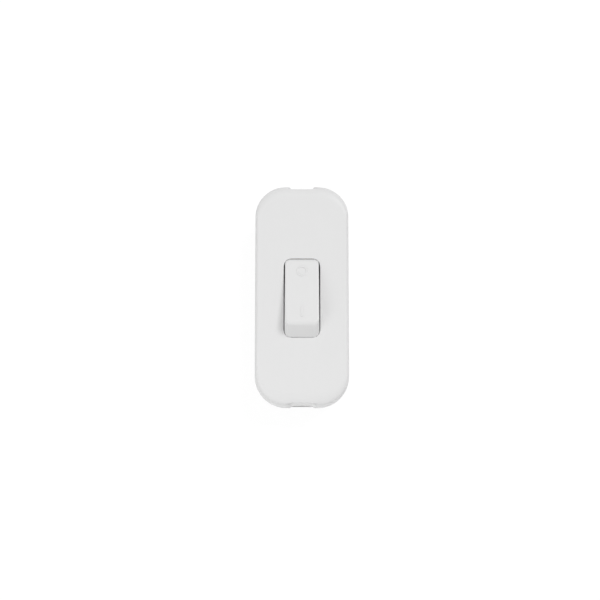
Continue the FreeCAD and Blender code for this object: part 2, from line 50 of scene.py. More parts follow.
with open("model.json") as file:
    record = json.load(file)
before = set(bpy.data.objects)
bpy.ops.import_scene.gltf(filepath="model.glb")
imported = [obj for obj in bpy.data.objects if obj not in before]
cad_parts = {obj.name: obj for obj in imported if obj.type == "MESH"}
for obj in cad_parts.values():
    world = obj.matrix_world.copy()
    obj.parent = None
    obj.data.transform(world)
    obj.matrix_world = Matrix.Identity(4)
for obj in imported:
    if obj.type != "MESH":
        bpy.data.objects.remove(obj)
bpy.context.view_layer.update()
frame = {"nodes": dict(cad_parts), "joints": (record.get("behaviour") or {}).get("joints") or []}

MM = 0.001
MICRON = 0.000001
POLES = ("left", "right")
ENDS = ("o_end", "i_end")
ACROSS = (0, math.pi / 2, 0)
ALONG = (math.pi / 2, 0, 0)

# Heights this close count as one, and pieces that fit each other have this much room
SAME_PLACE = 0.01 * MM
FIT = 0.02 * MM

# Half the room within the housing's walls in plan, and the middle and radius of its corners
INNER_X, INNER_Y = 14.4 * MM, 35.2 * MM
INNER_CORNER_X, INNER_CORNER_Y, INNER_CORNER = 5.5 * MM, 27 * MM, 9 * MM


def joint(name):
    """A packed joint by its name."""
    return next(entry for entry in frame["joints"] if entry["name"] == name)


PIVOT = Vector(joint("rocker_tilt")["pos_m"])


# Sizes and colours that a user may change


def length(name, description, default):
    """A length in metres, written in millimetres."""
    return FloatProperty(name=name, description=description, default=default * MM, unit="LENGTH", precision=5)


def angle(name, description, default):
    """An angle in radians, written in degrees."""
    return FloatProperty(name=name, description=description, default=math.radians(default), subtype="ANGLE")


def number(name, description, default):
    return FloatProperty(name=name, description=description, default=default)


def colour(name, description, default):
    return FloatVectorProperty(name=name, description=description, default=default, size=3, subtype="COLOR")


class SwitchSizes(bpy.types.PropertyGroup):
    """Sizes of what is modelled here."""

    throw: angle("Throw", "Turn of the rocker from level to either end", 13)
    skirt_radius: length("Skirt radius", "Radius of the rocker's skirt about its pins", 14.28)
    pivot_depth: length("Pivot depth", "Depth of the rocker's pins under the housing's top", 5.3)
    rocker_width: length("Rocker width", "Width of the rocker", 11.8)
    rocker_rise: length("Rocker rise", "Height of the rocker's flat top above its pins", 8.55)
    rocker_top_length: length("Rocker top length", "Length of the flat top", 22.3)
    rocker_draft: angle("Rocker draft", "Lean of the rocker's sides above the housing", 1.8)
    rocker_corner: length("Rocker corner", "Rounding of the rocker's corners seen from above", 2.05)
    rocker_edge: length("Rocker edge", "Rounding of the flat top's two sides", 0.55)
    rocker_end_edge: length("Rocker end edge", "Rounding of the two ends of the flat top", 0.55)
    shoulder_rise: length("Shoulder rise", "Height of the top of the slanted ends above the pins", 7.85)
    shoulder_length: length("Shoulder length", "Length of the rocker over the tops of its slanted ends", 23.8)
    shoulder_edge: length("Shoulder edge", "Rounding of the tops of the slanted ends", 0.4)
    rocker_wall: length("Rocker wall", "Wall of the rocker", 1.6)
    skirt_drop: length("Skirt drop", "Depth of the skirt below the pins", 2.4)
    core_length: length("Core length", "Length of the core that the pins stand on", 5.2)
    core_drop: length("Core drop", "Depth of the core below the pins", 4.4)
    rocker_rib: length("Rib", "Thickness of the rib along the rocker", 0.8)
    pin_radius: length("Pin radius", "Radius of the rocker's pins", 1.5)
    pin_length: length("Pin length", "Length of each pin", 1.5)
    pin_edge: length("Pin edge", "Rounding of the pins' ends", 0.2)
    bore_radius: length("Bore radius", "Radius of the two plunger bores", 1.46)
    bore_roof: length("Bore roof", "Plastic above each plunger bore", 2.6)
    window_rim: length("Window rim", "Rounding of the rim of the window", 0.15)
    flat_bevel: length("Flat bevel", "Rounding between the flats of the housing's edges", 0.4)
    edge_radius: length("Edge radius", "Rounding of the housing's top before it is reshaped", 2)
    end_spread: length("End spread", "How much wider that rounding is at the two ends", 2.6)
    side_spread: length("Side spread", "How much narrower that rounding is along the sides", 1.2)
    mark_reach: length("Mark reach", "Distance of each mark from the middle of the rocker", 7.2)
    mark_radius: length("Ring radius", "Outer radius of the ring on the off end", 1.85)
    mark_stroke: length("Mark stroke", "Width of the ring's stroke", 0.5)
    mark_length: length("Bar length", "Length of the bar on the on end", 4)
    bar_width: length("Bar width", "Width of the bar on the on end", 0.7)
    mark_height: length("Mark height", "Height of the raised marks", 0.2)
    thread_pitch: length("Thread pitch", "Pitch of the small screws' threads", 0.5)
    thread_depth: length("Thread depth", "Depth of the small screws' threads", 0.2)
    tapping_pitch: length("Tapping pitch", "Pitch of the screws that cut into plastic", 1)
    tapping_depth: length("Tapping depth", "Depth of their threads", 0.36)
    slot_width: length("Slot width", "Width of a screw's slot", 0.6)
    slot_depth: length("Slot depth", "Depth of a screw's slot", 0.8)
    screw_radius: length("Screw radius", "Radius of a screw over its thread", 1.45)
    head_radius: length("Head radius", "Radius of the small screws' heads", 2)
    head_height: length("Head height", "Height of the small screws' heads", 1.6)
    head_edge: length("Head edge", "Rounding of the crown of a screw's head", 0.3)
    slot_edge: length("Slot edge", "Rounding of the edges of a screw's slot", 0.06)
    housing_head_radius: length("Housing head radius", "Radius of the housing screws' heads", 2.8)
    housing_head_height: length("Housing head height", "Height of the housing screws' heads", 2.2)
    wire_hole_radius: length("Wire hole radius", "Radius of the wire hole in a terminal block", 1.4)
    wire_hole_height: length("Wire hole height", "Height of that hole above the block's foot", 3)
    block_edge: length("Block edge", "Rounding of a terminal block's edges", 0.18)
    hole_edge: length("Hole edge", "Rounding of the mouths of its holes", 0.12)
    clamp_wing: length("Clamp wing", "Thickness of a cord clamp's wings", 2.4)
    clamp_radius: length("Clamp radius", "Outer radius of a cord clamp's arch", 5)
    clamp_edge: length("Clamp edge", "Rounding of the edges of the wings", 0.25)
    arch_edge: length("Arch edge", "Rounding of the two rims of the arch", 0.2)
    cord_radius: length("Cord radius", "Radius of the cord that the clamps hold", 3.5)
    groove_depth: length("Groove depth", "Depth of the gripping grooves in a clamp", 0.25)
    plunger_radius: length("Plunger radius", "Radius of each plunger", 1.4)
    plunger_reach: length("Plunger reach", "Depth of the plungers' tips below the pins", 6.5)
    plunger_length: length("Plunger length", "Length of each plunger", 6.9)
    plunger_floor: length("Plunger floor", "Solid part of each plunger, under its well", 2.3)
    plunger_nose: length("Plunger nose", "Rounding of each plunger's tip", 0.75)
    well_radius: length("Well radius", "Radius of the well for the spring", 0.95)
    well_edge: length("Well edge", "Rounding of the edges round the well", 0.1)
    coil_radius: length("Coil radius", "Radius of each spring to the middle of its wire", 0.7)
    wire_radius: length("Wire radius", "Radius of the springs' wire", 0.15)
    wire_gap: length("Wire gap", "Room at both ends of each spring", 0.1)
    coil_turns: IntProperty(name="Coil turns", description="Turns of each plunger spring", default=8)


class SwitchColours(bpy.types.PropertyGroup):
    """Colours of the finishes."""

    housing: colour("Housing", "Moulded plastic of both shells", (0.765, 0.765, 0.765))
    rocker: colour("Rocker", "Moulded plastic of the rocker", (0.765, 0.765, 0.765))
    clamp: colour("Clamp", "Natural nylon of the cord clamps", (0.72, 0.71, 0.67))
    screw: colour("Screw", "Zinc-plated steel", (0.6, 0.61, 0.6))
    plunger: colour("Plunger", "Tumbled steel", (0.5, 0.5, 0.51))
    spring: colour("Spring", "Drawn spring wire", (0.42, 0.42, 0.43))
    brass: colour("Brass", "Terminal blocks and strips", (0.72, 0.52, 0.24))
    copper: colour("Copper", "Contact bridges", (0.72, 0.38, 0.25))
    silver: colour("Silver", "Contact pads", (0.78, 0.77, 0.74))


class SwitchStage(bpy.types.PropertyGroup):
    """Camera, lamps and floor."""

    camera_tilt: angle("Camera tilt", "Lean of the view from straight down", 8)
    camera_distance: length("Camera distance", "Distance from the camera to the housing's top", 412)
    camera_aim_x: length("Aim to the right", "Where the camera looks at, from the middle to the right", -0.65)
    camera_aim_y: length("Aim to the O end", "Where the camera looks at, from the middle to the O end", -2)
    focal_length: number("Focal length", "Focal length in millimetres", 73.3)
    sky_strength: number("Sky", "Strength of the sky overhead", 0.555)
    sky_horizon: number("Horizon", "Strength of the sky at the horizon", 0.69)
    key_strength: number("Key", "Strength of the light from above right", 1.1)
    key_height: angle("Key height", "Height of the key light above the horizon", 56)
    key_side: angle("Key side", "Turn of the key light from +X towards +Y", 48)
    key_softness: angle("Key softness", "Width of the key light as the object sees it", 22)
    fill_power: number("Fill", "Power of the soft box on the near left", 0.55)
    fill_size: length("Fill size", "Side of the soft box", 300)
    fill_x: length("Fill to the right", "Where the soft box hangs, from the middle to the right", -260)
    fill_y: length("Fill to the O end", "Where it hangs, from the middle to the O end", -300)
    fill_height: length("Fill height", "Height of the soft box", 320)
    floor_size: length("Floor size", "Side of the floor", 6000)
    floor_glow: number("Glow", "Strength of the floor's own white", 1.1)
    floor_share: number("Glow share", "Share of it that the camera sees", 0.8)


# Shader maths


class Socket:
    """An output socket that can be added to, lessened and scaled as a number can."""

    def __init__(self, shader, socket):
        self.shader = shader
        self.socket = socket

    def math(self, operation, *values):
        return self.shader.node("Math", {"operation": operation}, values)

    def __add__(self, other):
        return self.math("ADD", self, other)

    def __radd__(self, other):
        return self.math("ADD", other, self)

    def __sub__(self, other):
        return self.math("SUBTRACT", self, other)

    def __rmul__(self, other):
        return self.math("MULTIPLY", other, self)


class Shader:
    """A material or a world whose nodes are written as expressions."""

    def __init__(self, owner):
        self.owner = owner
        owner.use_nodes = True
        self.tree = owner.node_tree
        self.tree.nodes.clear()

    def node(self, kind, settings, values, output=0):
        """A node with its settings, then its inputs by name or in order, as one of its outputs."""
        node = self.tree.nodes.new("ShaderNode" + kind)
        for name, setting in settings.items():
            setattr(node, name, setting)
        for key, value in values.items() if isinstance(values, dict) else enumerate(values):
            if isinstance(value, Socket):
                self.tree.links.new(value.socket, node.inputs[key])
            else:
                node.inputs[key].default_value = value
        return Socket(self, node.outputs[output]) if output is not None else None

    def place(self, stretch=(1, 1, 1)):
        """The object's own coordinates, in metres, stretched for a drawn or brushed pattern."""
        point = self.node("TexCoord", {}, {}, "Object")
        return self.node("Mapping", {}, {"Vector": point, "Scale": stretch})

    def noise(self, point, scale, detail=2.0, roughness=0.5):
        values = {"Vector": point, "Scale": scale, "Detail": detail, "Roughness": roughness}
        return self.node("TexNoise", {}, values)

    def blend(self, factor, first, second):
        """A colour between two colours."""
        values = {"Factor": factor, 6: first, 7: second}
        return self.node("Mix", {"data_type": "RGBA"}, values, 2)

    def bump(self, height, strength, distance):
        values = {"Height": height, "Strength": strength, "Distance": distance}
        return self.node("Bump", {}, values)

    def principled(self, **values):
        """The surface, whose sockets are given by name with underscores for spaces."""
        values = {name.replace("_", " "): value for name, value in values.items()}
        return self.node("BsdfPrincipled", {}, values)

    def finish(self, surface, output="OutputMaterial"):
        self.node(output, {}, {"Surface": surface}, None)
        return self.owner


def tint(base, gain):
    """A colour made a little lighter or darker, with its alpha."""
    return (*[min(channel * gain, 1) for channel in base], 1)


def moulded_plastic(name, base, roughness, grain, grain_depth):
    """Satin thermoplastic: fine spark-eroded grain, faint clouding and slow changes of gloss."""
    shader = Shader(bpy.data.materials.new(name))
    point = shader.place()
    cloud = shader.noise(point, scale=90, detail=3)
    flow = shader.noise(shader.place((1, 0.25, 1)), scale=260)
    pit = shader.noise(point, scale=1 / grain, detail=3, roughness=0.6)
    ripple = shader.noise(point, scale=420, detail=1)
    height = pit + 0.6 * ripple
    surface = shader.principled(
        Base_Color=shader.blend(0.5 * cloud + 0.5 * flow, tint(base, 0.985), tint(base, 1.015)),
        Roughness=roughness + 0.1 * (cloud - 0.5) + 0.08 * (pit - 0.5),
        Normal=shader.bump(height, strength=0.35, distance=grain_depth),
        IOR=1.49,
    )
    return shader.finish(surface)


def worked_metal(name, base, roughness, draw, draw_depth, spots):
    """Metal with draw lines along one way, a faint cast of tarnish and small rubbed spots."""
    shader = Shader(bpy.data.materials.new(name))
    lines = shader.noise(shader.place(draw), scale=5200, detail=3, roughness=0.65)
    cast = shader.noise(shader.place(), scale=330, detail=3)
    speck = shader.noise(shader.place(), scale=2400)
    rubbed = shader.node("MapRange", {}, {"Value": speck, "From Min": 0.55, "From Max": 0.75})
    surface = shader.principled(
        Base_Color=shader.blend(0.7 * cast + 0.3 * lines, tint(base, 0.89), tint(base, 1.06)),
        Metallic=1.0,
        Roughness=roughness + 0.16 * (lines - 0.5) + spots * rubbed + 0.1 * (cast - 0.5),
        Normal=shader.bump(lines + 0.5 * speck, strength=0.4, distance=draw_depth),
    )
    return shader.finish(surface)


FINISHES = {}


def make_finishes():
    """One material for each material slot of the record, by slot name. Grain and depth are in micrometres."""
    hue = bpy.context.scene.switch_colours
    for slot, name, base, roughness, grain, depth in (
        ("housing_plastic", "Satin housing plastic", hue.housing, 0.46, 320, 20),
        ("rocker_plastic", "Satin rocker plastic", hue.rocker, 0.4, 400, 12),
        ("clamp_plastic", "Natural nylon", hue.clamp, 0.5, 600, 15),
    ):
        FINISHES[slot] = moulded_plastic(name, base, roughness, grain * MICRON, depth * MICRON)
    for slot, name, base, roughness, draw, depth, spots in (
        ("screw_steel", "Zinc-plated steel", hue.screw, 0.34, (1, 1, 0.2), 4, 0.06),
        ("plunger_steel", "Tumbled steel", hue.plunger, 0.28, (1, 1, 3), 3, 0.06),
        ("spring_steel", "Drawn spring wire", hue.spring, 0.3, (1, 1, 4), 2, 0.06),
        ("terminal_brass", "Sawn brass bar", hue.brass, 0.3, (1, 0.12, 1), 6, 0.06),
        ("strip_brass", "Stamped brass strip", hue.brass, 0.26, (1, 0.08, 1), 3, 0.06),
        ("bridge_copper", "Stamped copper", hue.copper, 0.3, (1, 0.08, 1), 3, 0.06),
        ("contact_silver", "Silver contact", hue.silver, 0.22, (0.3, 0.3, 1), 2, 0.12),
    ):
        FINISHES[slot] = worked_metal(name, base, roughness, draw, depth * MICRON, spots)


# Modelling by hand


def near(first, second):
    """Whether two heights or distances are the same but for rounding."""
    return abs(first - second) < SAME_PLACE


def hold(piece):
    """Selects one piece alone and makes it the active one."""
    bpy.ops.object.select_all(action="DESELECT")
    piece.select_set(True)
    bpy.context.view_layer.objects.active = piece


def start_edit(piece, everything=False):
    hold(piece)
    bpy.ops.object.mode_set(mode="EDIT")
    bpy.ops.mesh.select_mode(type="VERT")
    bpy.ops.mesh.select_all(action="SELECT" if everything else "DESELECT")


def end_edit():
    bpy.ops.object.mode_set(mode="OBJECT")


def select_edges(piece, test):
    """Selects in edit mode the edges whose two ends both pass a test."""
    bpy.ops.mesh.select_mode(type="EDGE")
    bpy.ops.mesh.select_all(action="DESELECT")
    mesh = bmesh.from_edit_mesh(piece.data)
    for edge in mesh.edges:
        edge.select = all(test(vert.co) for vert in edge.verts)
    bmesh.update_edit_mesh(piece.data)


def select_faces(piece, test):
    """Selects in edit mode the faces whose centre and normal pass a test."""
    bpy.ops.mesh.select_mode(type="FACE")
    bpy.ops.mesh.select_all(action="DESELECT")
    mesh = bmesh.from_edit_mesh(piece.data)
    for face in mesh.faces:
        face.select = test(face.calc_center_median(), face.normal)
    bmesh.update_edit_mesh(piece.data)


def named(name):
    """The primitive just added, with its turn and scale put into its mesh."""
    piece = bpy.context.object
    piece.name = name
    piece.data.name = name
    bpy.ops.object.transform_apply(location=True, rotation=True, scale=True)
    return piece


def block(name, low, high):
    """A cube primitive between two corners."""
    low, high = Vector(low), Vector(high)
    bpy.ops.mesh.primitive_cube_add(size=1, location=(low + high) / 2)
    bpy.context.object.scale = high - low
    return named(name)


def bar(name, radius, depth, middle, turn=(0, 0, 0), sides=64):
    """A cylinder primitive centred on a point."""
    bpy.ops.mesh.primitive_cylinder_add(
        vertices=sides, radius=radius, depth=depth, location=middle, rotation=turn
    )
    return named(name)


def use_modifier(piece, kind, **settings):
    """Adds a modifier, sets it and applies it."""
    hold(piece)
    bpy.ops.object.modifier_add(type=kind)
    modifier = piece.modifiers[-1]
    for name, value in settings.items():
        setattr(modifier, name, value)
    bpy.ops.object.modifier_apply(modifier=modifier.name)


def carve(piece, *tools, operation="DIFFERENCE"):
    """Cuts tools out of a piece or joins them to it, and deletes the tools."""
    for tool in tools:
        use_modifier(piece, "BOOLEAN", operation=operation, object=tool, solver="EXACT")
        discard(tool)
    return piece


def slice_off(piece, point, outward):
    """Cuts away what lies beyond a plane and closes the cut."""
    start_edit(piece, everything=True)
    bpy.ops.mesh.bisect(plane_co=point, plane_no=outward, use_fill=True, clear_outer=True)
    end_edit()


def copied(piece, name):
    """A copy with its own mesh."""
    twin = piece.copy()
    twin.data = piece.data.copy()
    twin.name = name
    twin.data.name = name
    bpy.context.scene.collection.objects.link(twin)
    return twin


def shade(piece, limit=math.radians(34)):
    """Smooth shading up to an angle, with flat faces kept flat."""
    hold(piece)
    bpy.ops.object.shade_smooth_by_angle(angle=limit)
    use_modifier(piece, "WEIGHTED_NORMAL", keep_sharp=True, weight=60)


def discard(*pieces):
    for piece in pieces:
        bpy.data.objects.remove(piece)


def seat(piece, body, slot, *nodes):
    """Gives a finished piece its material, its body and the nodes that it stands for."""
    piece.data.materials.clear()
    piece.data.materials.append(FINISHES[slot])
    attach(piece, body)
    if nodes:
        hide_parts(*nodes)


def joined(name, pieces):
    """Several meshes as one piece."""
    hold(pieces[0])
    for piece in pieces[1:]:
        piece.select_set(True)
    bpy.ops.object.join()
    pieces[0].name = name
    pieces[0].data.name = name
    return pieces[0]


def moved(piece, place, turn=Matrix.Identity(4)):
    """Turns a finished mesh and then sets it at a place."""
    piece.data.transform(Matrix.Translation(place) @ turn)
    return piece


def soften(piece, width, segments=2, limit=math.radians(30)):
    """Rounds every edge that is sharper than a limit."""
    use_modifier(piece, "BEVEL", width=width, segments=segments, limit_method="ANGLE", angle_limit=limit)
    return piece


def round_rim(piece, test, width, segments=3):
    """Rounds the edges whose two ends both pass a test."""
    start_edit(piece)
    select_edges(piece, test)
    bpy.ops.mesh.bevel(offset=width, segments=segments, affect="EDGES")
    end_edit()


def wound(name, section, pitch, turns, steps):
    """A closed section in the XZ plane, wound up the Z axis and capped at both ends."""
    use_modifier(
        section, "SCREW", axis="Z", angle=2 * math.pi, screw_offset=pitch, iterations=turns,
        steps=steps, render_steps=steps, use_merge_vertices=False, use_smooth_shade=True,
    )
    start_edit(section, everything=True)
    bpy.ops.mesh.fill_holes(sides=12)
    bpy.ops.mesh.normals_make_consistent(inside=False)
    end_edit()
    section.name = name
    return section


def loop(sides, middle, across, up):
    """A closed polygon in the XZ plane, its first corner outward."""
    bpy.ops.mesh.primitive_circle_add(vertices=sides, radius=1, fill_type="NOTHING")
    piece = named("section")
    stand = Matrix(((0, across, 0, middle.x), (0, 0, 1, 0), (up, 0, 0, middle.z), (0, 0, 0, 1)))
    piece.data.transform(stand)
    return piece


def threaded_rod(name, radius, depth, pitch, reach):
    """A round rod below the origin with a raised helical thread and a chamfered tip."""
    plain_tip, plain_neck = 0.2 * MM, 0.15 * MM
    half_foot = 0.45  # of the pitch
    half_side = 0.866  # of a triangle whose corners are 1 from its middle
    rod = bar(name, radius - depth, reach, (0, 0, -reach / 2), sides=40)
    round_rim(rod, lambda co: near(co.z, -reach), 0.5 * depth + 0.1 * MM, 1)
    turns = int((reach - plain_tip) / pitch) - 1
    start = -plain_neck - pitch * (turns + half_foot)
    outward = depth * 1.02
    middle = Vector((radius - outward * 2 / 3, 0, start))
    section = loop(3, middle, outward * 2 / 3, half_foot * pitch / half_side)
    return [rod, wound("thread", section, pitch, turns, 28)]


def slotted_screw(radius, depth, pitch, reach, crown_radius, crown_height):
    """A slotted cheese-head screw whose head stands on the origin, with its shank below."""
    sizes = bpy.context.scene.switch_sizes
    head = bar("screw", crown_radius, crown_height, (0, 0, crown_height / 2), sides=56)
    round_rim(head, lambda co: near(co.z, crown_height), sizes.head_edge, 4)
    half = Vector((2 * crown_radius, sizes.slot_width / 2, 0))
    low = Vector((0, 0, crown_height - sizes.slot_depth)) - half
    carve(head, block("slot", low, half + Vector((0, 0, 2 * crown_height))))
    soften(head, sizes.slot_edge, 2, math.radians(50))
    screw = joined("screw", [head, *threaded_rod("shank", radius, depth, pitch, reach)])
    shade(screw)
    return screw


def tapping_screw(node, crown_radius, crown_height):
    """The screw of a node, of the kind that cuts its own thread in plastic."""
    sizes = bpy.context.scene.switch_sizes
    return slotted_screw(sizes.screw_radius, sizes.tapping_depth, sizes.tapping_pitch,
                         height_of(node) - crown_height, crown_radius, crown_height)


def cast_copy(node, name):
    """A copy of a node's mesh, closed up and with its flat faces whole."""
    piece = copied(frame["nodes"][node], name)
    for key in list(piece.keys()):
        del piece[key]
    piece.parent = None
    start_edit(piece, everything=True)
    bpy.ops.mesh.remove_doubles(threshold=MICRON)
    bpy.ops.mesh.dissolve_limited(angle_limit=math.radians(0.4))
    end_edit()
    return piece


def place_of(node, high=False):
    """The middle of a node's box in plan, at the box's lowest or highest height."""
    low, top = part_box(node)
    return Vector(((low.x + top.x) / 2, (low.y + top.y) / 2, top.z if high else low.z))


def height_of(node):
    low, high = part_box(node)
    return high.z - low.z


def pole_x(pole):
    """How far to the side the mechanism of a pole lies."""
    return place_of(f"terminal_block_{pole}_o_end").x


# Pieces


class SWITCH_OT_housing(bpy.types.Operator):
    """Models both shells with rounder outer edges and a softened window rim"""

    bl_idname = "cord_switch.housing"
    bl_label = "Housing"

    def execute(self, context):
        sizes = context.scene.switch_sizes
        for name, node in (("housing_top", "upper_shell"), ("housing_base", "lower_shell")):
            shell = cast_copy(node, name)
            for level in self.bend_levels(shell, node):
                round_rim(shell, lambda co: self.outside(co) and near(co.z, level), sizes.flat_bevel)
            if node == "upper_shell":
                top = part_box(node)[1].z
                round_rim(shell, lambda co: near(co.z, top) and self.by_window(co, sizes), sizes.window_rim)
                self.reshape_edge(shell, sizes)
            shade(shell)
            seat(shell, "housing", "housing_plastic", node)
        return {"FINISHED"}

    @staticmethod
    def bend_levels(shell, node):
        """The two heights between the flats of a shell's outer edge, at the top or at the back."""
        low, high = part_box(node)
        face, way = (high.z, 1) if node == "upper_shell" else (low.z, -1)
        levels = {round(vert.co.z, 6) for vert in shell.data.vertices if SWITCH_OT_housing.outside(vert.co)}
        inner = sorted(level for level in levels if 0.1 * MM < way * (face - level) < 1.5 * MM)
        return [inner[0], inner[-1]]

    @staticmethod
    def reshape_edge(shell, sizes):
        """Makes the rounding round the top wider at the two ends and tighter along the sides."""
        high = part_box("upper_shell")[1]
        for vert in shell.data.vertices:
            lift = min(1 + (vert.co.z - high.z) / sizes.edge_radius, 1)
            if lift > 0 and not SWITCH_OT_housing.by_window(vert.co, sizes):
                inset = 1 - math.sqrt(1 - lift**2)
                vert.co.x *= 1 + inset * sizes.side_spread / high.x
                vert.co.y *= 1 - inset * sizes.end_spread / high.y

    @staticmethod
    def outside(point):
        """Whether a point in plan lies beyond the window and all that is inside the walls."""
        x, y = abs(point.x), abs(point.y)
        in_corner = x > INNER_CORNER_X and y > INNER_CORNER_Y
        far = math.hypot(x - INNER_CORNER_X, y - INNER_CORNER_Y) > INNER_CORNER
        return x > INNER_X or y > INNER_Y or in_corner and far

    @staticmethod
    def by_window(point, sizes):
        """Whether a point in plan lies in or next to the window that the rocker stands in."""
        reach_x, reach_y = sizes.rocker_width / 2 + MM, sizes.skirt_radius + MM
        return abs(point.x) < reach_x and abs(point.y - PIVOT.y) < reach_y


class SWITCH_OT_rocker(bpy.types.Operator):
    """Models the rocker level, from its plan at the waist, and turns it to rest with its O end pressed"""

    bl_idname = "cord_switch.rocker"
    bl_label = "Rocker"

    def execute(self, context):
        sizes = context.scene.switch_sizes
        half = sizes.rocker_width / 2
        top = PIVOT.z + sizes.rocker_rise
        waist_y, waist_z = self.waist(sizes)
        slant = Vector((0, sizes.shoulder_rise - waist_z, waist_y - sizes.shoulder_length / 2))
        cap = self.outer_form(sizes, waist_y, waist_z)
        self.round_top(cap, sizes)
        carve(cap, self.hollow(sizes, slant.normalized().dot(Vector((0, waist_y, waist_z)))))
        foot = Vector((half - FIT, sizes.core_length / 2, 0))
        base = PIVOT - Vector((0, 0, sizes.core_drop))
        carve(cap, block("core_foot", base - foot, PIVOT + foot), operation="UNION")
        pin_half = half + sizes.pin_length
        pin = bar("pin", sizes.pin_radius, 2 * pin_half, PIVOT, ACROSS, 48)
        for side in (-1, 1):
            round_rim(pin, lambda co: near(co.x, side * pin_half), sizes.pin_edge)
        carve(cap, pin, operation="UNION")
        roof = top - sizes.bore_roof
        below = 2 * MM
        for pole in POLES:
            middle = Vector((pole_x(pole), PIVOT.y, (base.z + roof) / 2 - below / 2))
            carve(cap, bar("bore", sizes.bore_radius, roof - base.z + below, middle, sides=48))
        cap.data.transform(self.rest(sizes))
        shade(cap)
        seat(cap, "rocker", "rocker_plastic", "rocker")
        return {"FINISHED"}

    @staticmethod
    def outer_form(sizes, waist_y, waist_z):
        """The level cap: its plan at the waist, drawn up to the flat top and down along the skirt."""
        bpy.ops.mesh.primitive_plane_add(size=2, location=PIVOT + Vector((0, 0, waist_z)))
        bpy.context.object.scale = (sizes.rocker_width / 2, waist_y, 1)
        cap = named("rocker_cap")
        start_edit(cap, everything=True)
        bpy.ops.mesh.bevel(offset=sizes.rocker_corner, segments=10, affect="VERTICES")
        end_edit()
        shoulder = (sizes.shoulder_rise, sizes.shoulder_length / 2)
        levels = [(waist_z, waist_y), shoulder, (sizes.rocker_rise, sizes.rocker_top_length / 2)]
        for (low, reach), (high, further) in zip(levels, levels[1:]):
            drawn_in = ((z - waist_z) * math.tan(sizes.rocker_draft) for z in (low, high))
            lower, upper = (sizes.rocker_width / 2 - inset for inset in drawn_in)
            SWITCH_OT_rocker.draw_out(cap, low, high - low, (upper / lower, further / reach, 1))
        depth = waist_z + sizes.skirt_drop
        steps = 6
        heights = [waist_z - depth * step / steps for step in range(steps + 1)]
        for height, following in zip(heights, heights[1:]):
            reach, further = (math.sqrt(sizes.skirt_radius**2 - z * z) for z in (height, following))
            SWITCH_OT_rocker.draw_out(cap, height, following - height, (1, further / reach, 1))
        start_edit(cap, everything=True)
        bpy.ops.mesh.normals_make_consistent(inside=False)
        end_edit()
        return cap

    @staticmethod
    def draw_out(cap, height, rise, scale):
        """Extrudes the level face at a height above the pins and scales it in plan."""
        start_edit(cap)
        level = PIVOT.z + height
        select_faces(cap, lambda centre, normal: near(centre.z, level) and abs(normal.z) > 0.9)
        bpy.ops.mesh.extrude_region_move(TRANSFORM_OT_translate={"value": (0, 0, rise)})
        bpy.ops.transform.resize(value=scale, center_override=PIVOT + Vector((0, 0, height + rise)))
        end_edit()

    @staticmethod
    def waist(sizes):
        """Where a slanted end meets the skirt, level with the housing's top when that end is raised."""
        surface = math.sqrt(sizes.skirt_radius**2 - sizes.pivot_depth**2)
        ahead = surface * math.cos(sizes.throw) + sizes.pivot_depth * math.sin(sizes.throw)
        return ahead, sizes.pivot_depth * math.cos(sizes.throw) - surface * math.sin(sizes.throw)

    @staticmethod
    def round_top(cap, sizes):
        """Rounds the edge round the flat top, more at the two ends, and the tops of the slanted ends."""
        start_edit(cap)
        mesh = bmesh.from_edit_mesh(cap.data)
        weights = mesh.edges.layers.float.new("bevel_weight_edge")
        top = (sizes.rocker_rise, sizes.rocker_edge, sizes.rocker_end_edge)
        for rise, side, end in (top, (sizes.shoulder_rise, 0, sizes.shoulder_edge)):
            for edge in mesh.edges:
                if all(near(vert.co.z, PIVOT.z + rise) for vert in edge.verts):
                    run = edge.verts[1].co - edge.verts[0].co
                    edge[weights] = (side + (end - side) * abs(run.x) / run.length) / sizes.rocker_end_edge
        bmesh.update_edit_mesh(cap.data)
        end_edit()
        use_modifier(cap, "BEVEL", width=sizes.rocker_end_edge, segments=6, limit_method="WEIGHT",
                     use_clamp_overlap=False)

    @staticmethod
    def hollow(sizes, slant_distance):
        """The hollow under the cap, concentric with its skirt, less the core and the rib."""
        radius = slant_distance - sizes.rocker_wall
        hollow = bar("hollow", radius, sizes.rocker_width - 2 * sizes.rocker_wall, PIVOT, ACROSS, 120)
        ceiling = PIVOT.z + sizes.rocker_rise - sizes.rocker_wall
        slice_off(hollow, (0, 0, ceiling), (0, 0, 1))
        for length_y, width in ((sizes.core_length, sizes.rocker_width), (3 * radius, sizes.rocker_rib)):
            half = Vector((width / 2, length_y / 2, 2 * radius))
            carve(hollow, block("web", PIVOT - half, PIVOT + half))
        return hollow

    @staticmethod
    def rest(sizes):
        """The turn from level to rest about the pins."""
        turn = Euler((-sizes.throw, 0, 0)).to_matrix().to_4x4()
        return Matrix.Translation(PIVOT) @ turn @ Matrix.Translation(-PIVOT)


